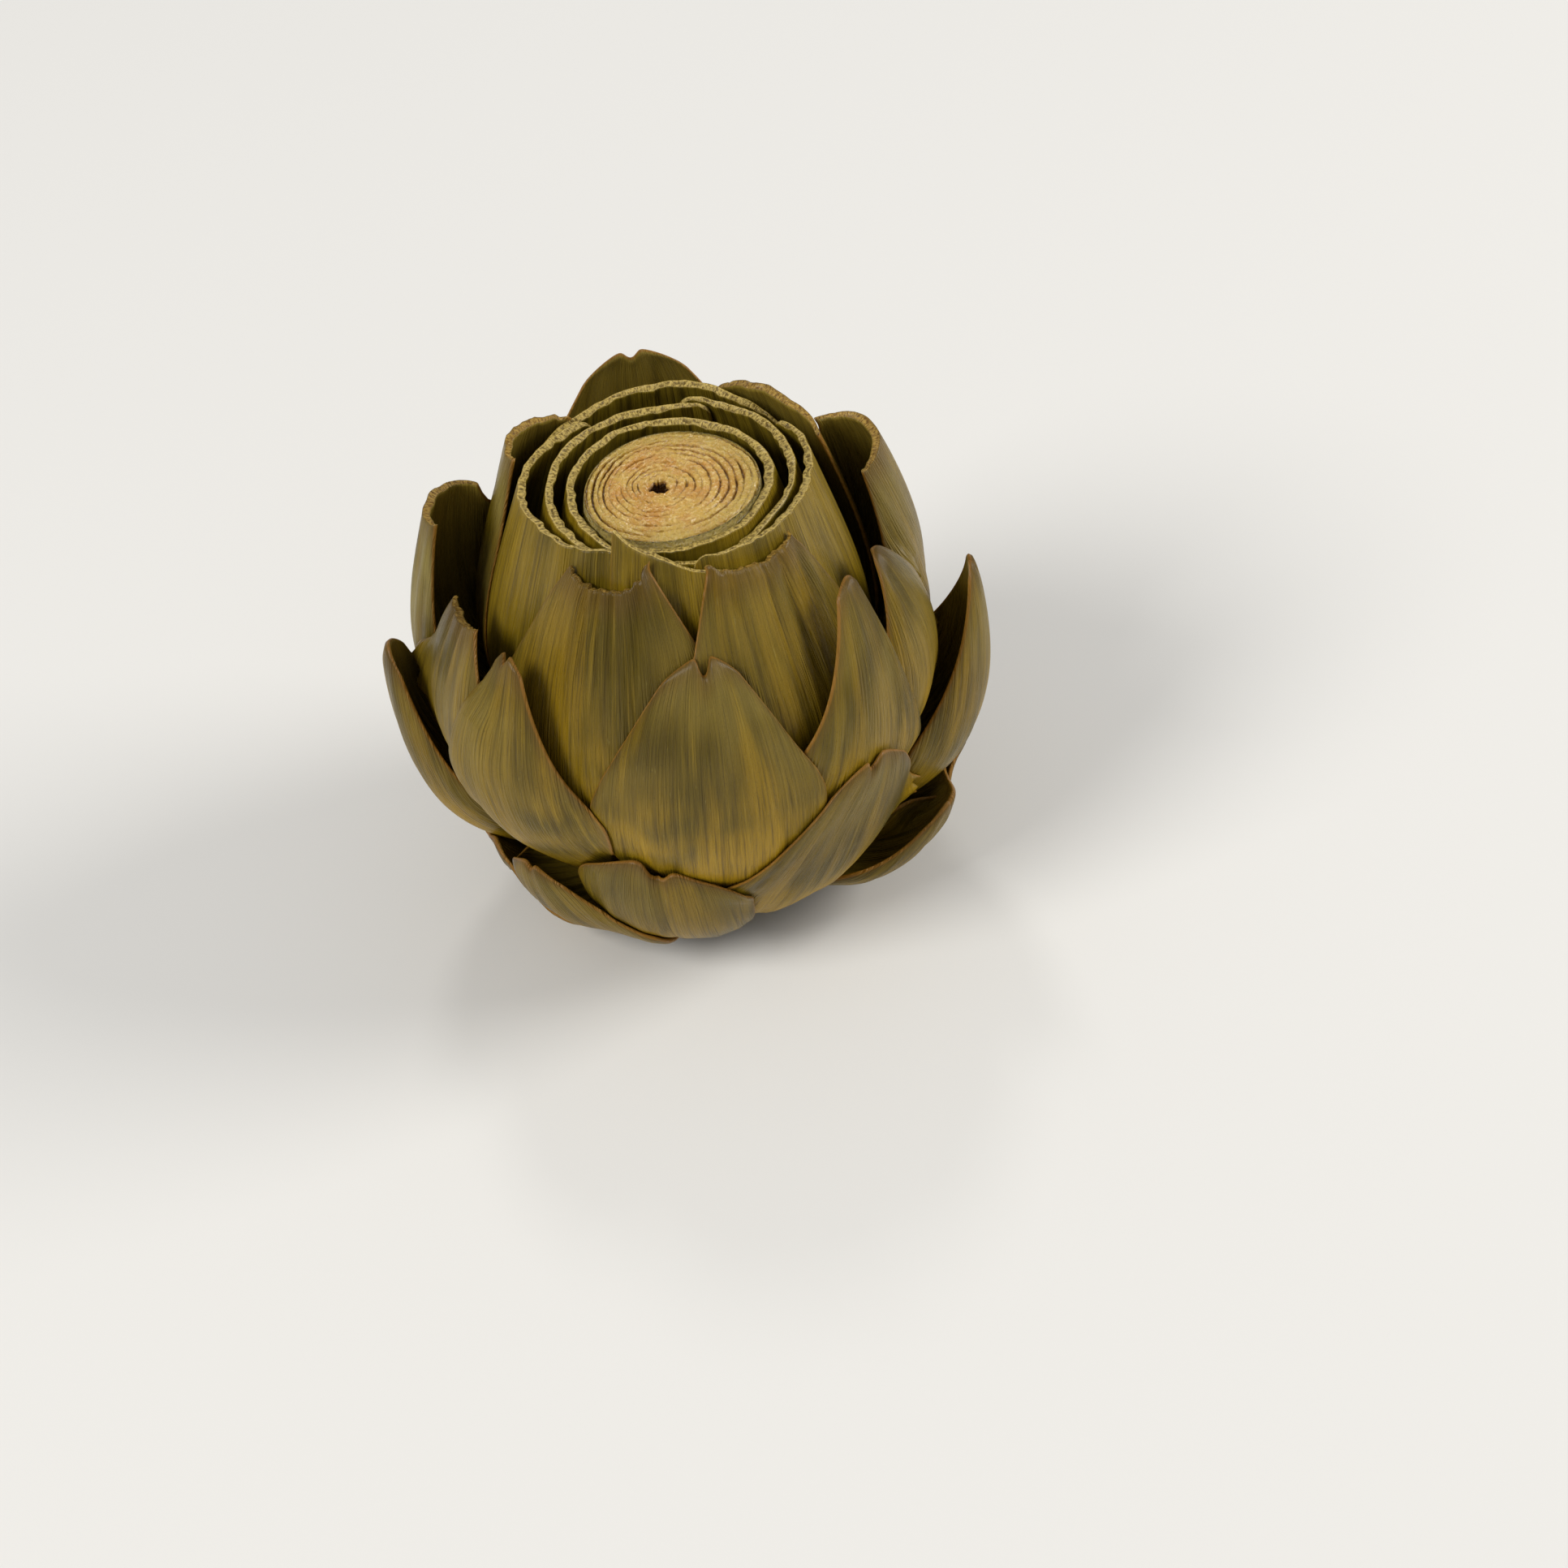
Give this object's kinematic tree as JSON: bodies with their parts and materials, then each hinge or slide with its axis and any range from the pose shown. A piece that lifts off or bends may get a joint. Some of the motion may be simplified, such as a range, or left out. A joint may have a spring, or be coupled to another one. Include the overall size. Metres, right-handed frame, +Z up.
{
  "type": "artichoke",
  "caption": "Cooked globe artichoke, sliced flat across the top and trimmed at the stem, its olive bracts standing in layers round the cut rings of the packed inner ones; it stands on its base.",
  "frame": {"origin": "centre of the flat cut face under the heart, on which the head stands", "axes": "+Z up the head towards the slice across its top, -Y towards the side that the picture shows, +X to the right of that side"},
  "size_m": [0.0995, 0.083, 0.0868],
  "materials": {
    "heart": "satin",
    "packed_bracts": "satin",
    "cut_bract": "satin",
    "outer_bract": "satin"
  },
  "bodies": {
    "root": {"heart": "heart", "core": "packed_bracts", "wrap_inner": "cut_bract", "wrap_middle_left": "cut_bract", "wrap_middle_right": "cut_bract", "wrap_outer_right": "cut_bract", "wrap_outer_left": "cut_bract", "wrap_outer_front": "cut_bract", "wrap_outer_back": "cut_bract", "upper_bract_front_left": "outer_bract", "upper_bract_front_right": "outer_bract", "upper_bract_back_left": "outer_bract", "upper_bract_back_right": "outer_bract", "upper_bract_back": "outer_bract", "upper_bract_right_inner": "outer_bract", "upper_bract_right": "outer_bract", "upper_bract_left": "outer_bract", "upper_bract_left_front": "outer_bract", "upper_bract_right_front": "outer_bract", "middle_bract_front": "outer_bract", "middle_bract_left_front": "outer_bract", "middle_bract_right": "outer_bract", "middle_bract_left": "outer_bract", "middle_bract_back_right": "outer_bract", "middle_bract_back": "outer_bract", "middle_bract_back_left": "outer_bract", "middle_bract_right_front": "outer_bract", "low_bract_front": "outer_bract", "low_bract_left_front": "outer_bract", "low_bract_left": "outer_bract", "low_bract_right_front": "outer_bract", "low_bract_right": "outer_bract", "low_bract_back_right_1": "outer_bract", "low_bract_back_right_2": "outer_bract", "low_bract_back": "outer_bract", "low_bract_back_left_1": "outer_bract", "low_bract_back_left_2": "outer_bract"}
  },
  "joints": []
}
